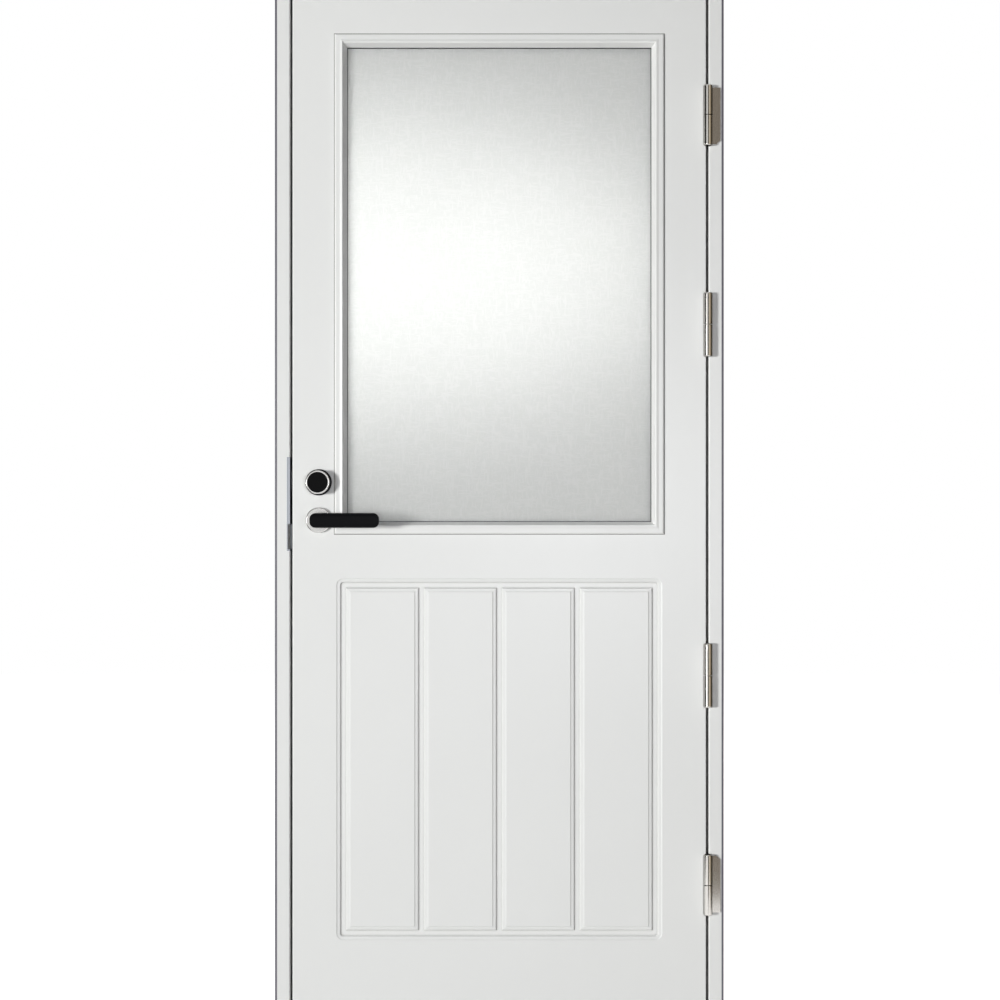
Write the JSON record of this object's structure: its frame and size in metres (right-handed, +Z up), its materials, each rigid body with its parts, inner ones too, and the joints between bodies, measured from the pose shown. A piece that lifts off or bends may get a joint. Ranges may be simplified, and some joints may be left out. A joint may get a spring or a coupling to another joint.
{
  "type": "exterior door with frosted window and frame",
  "caption": "Outward-opening white exterior door in its frame, with a frosted window, a routed board panel, lift-off hinges and a mortise lock with a lever.",
  "frame": {"origin": "the middle of the frame's underside, half way through the frame's depth", "axes": "+X to the right as seen from outside, +Y from outside to inside, +Z up"},
  "size_m": [0.89, 0.184, 2.09],
  "materials": {
    "white_timber": "satin white paint on planed timber",
    "white_board": "satin white paint on fibreboard",
    "pine": "planed laminated pine, edges painted white",
    "oak": "oiled oak",
    "foam": "rigid insulation foam",
    "cover_aluminium": "natural anodised",
    "seal_rubber": "black extruded seal",
    "zinc_screws": "zinc plated",
    "satin_steel": "satin steel",
    "bright_steel": "polished stainless steel",
    "brushed_rose": "brushed stainless steel",
    "black_plastic": "fine matt black",
    "black_gloss": "glossy black face",
    "frosted_glass": "frosted with a fibrous pattern",
    "clear_glass": "clear"
  },
  "bodies": {
    "frame": {"jamb_lock_side": "white_timber", "jamb_hinge_side": "white_timber", "head": "white_timber", "sill": "oak", "sill_cover": "cover_aluminium", "frame_seal": "seal_rubber", "corner_screws": "zinc_screws", "strike_plate": "satin_steel", "frame_screws": "zinc_screws", "hinge_1_frame_half": "bright_steel", "hinge_2_frame_half": "bright_steel", "hinge_3_frame_half": "bright_steel", "hinge_4_frame_half": "bright_steel", "hinge_pins": "bright_steel"},
    "leaf": {"outer_skin": "white_board", "inner_skin": "white_board", "lock_stile": "pine", "hinge_stile": "pine", "top_rail": "pine", "lock_rail": "pine", "bottom_rail": "pine", "panel_core": "foam", "leaf_screws": "zinc_screws", "outer_pane": "frosted_glass", "inner_pane": "clear_glass", "pane_spacer": "cover_aluminium", "outer_gasket": "seal_rubber", "inner_gasket": "seal_rubber", "glass_blocks": "black_plastic", "outer_bead_bottom": "white_timber", "outer_bead_left": "white_timber", "outer_bead_top": "white_timber", "outer_bead_right": "white_timber", "inner_bead_bottom": "white_timber", "inner_bead_left": "white_timber", "inner_bead_top": "white_timber", "inner_bead_right": "white_timber", "hinge_1_leaf_half": "bright_steel", "hinge_2_leaf_half": "bright_steel", "hinge_3_leaf_half": "bright_steel", "hinge_4_leaf_half": "bright_steel", "lock_case": "satin_steel", "forend": "satin_steel", "outer_rose": "brushed_rose", "inner_rose": "brushed_rose", "knob_ring": "brushed_rose", "thumbturn_ring": "brushed_rose"},
    "handle": {"follower": "satin_steel", "spindle": "satin_steel", "outer_lever": "brushed_rose", "inner_lever": "brushed_rose", "outer_grip": "black_plastic", "inner_grip": "black_plastic"},
    "latch": {"latch_bolt": "satin_steel"},
    "bolt": {"dead_bolt": "satin_steel"},
    "cylinder": {"knob_body": "brushed_rose", "knob_face": "black_gloss", "cylinder_core": "satin_steel", "thumbturn": "brushed_rose"}
  },
  "joints": [
    {"name": "leaf_swing", "type": "hinge", "parent": "frame", "child": "leaf", "pos_m": [0.4125, -0.062, 0], "axis": [0, 0, 1], "range_deg": [0, 170]},
    {"name": "handle_turn", "type": "hinge", "parent": "leaf", "child": "handle", "pos_m": [-0.358, 0, 1.001], "axis": [0, 1, 0], "range_deg": [0, 45], "stiffness_Nm_per_rad": 3, "springref_deg": -17.19},
    {"name": "latch_slide", "type": "slide", "parent": "leaf", "child": "latch", "axis": [-1, 0, 0], "range_m": [0, 0.012]},
    {"name": "cylinder_turn", "type": "hinge", "parent": "leaf", "child": "cylinder", "pos_m": [-0.358, 0, 1.076], "axis": [0, -1, 0], "range_deg": [0, 90]},
    {"name": "bolt_slide", "type": "slide", "parent": "leaf", "child": "bolt", "axis": [-1, 0, 0], "range_m": [0, 0.02]}
  ],
  "couplings": [
    {"joint": "bolt_slide", "follows": "cylinder_turn", "m_per_rad": 0.012732}
  ]
}
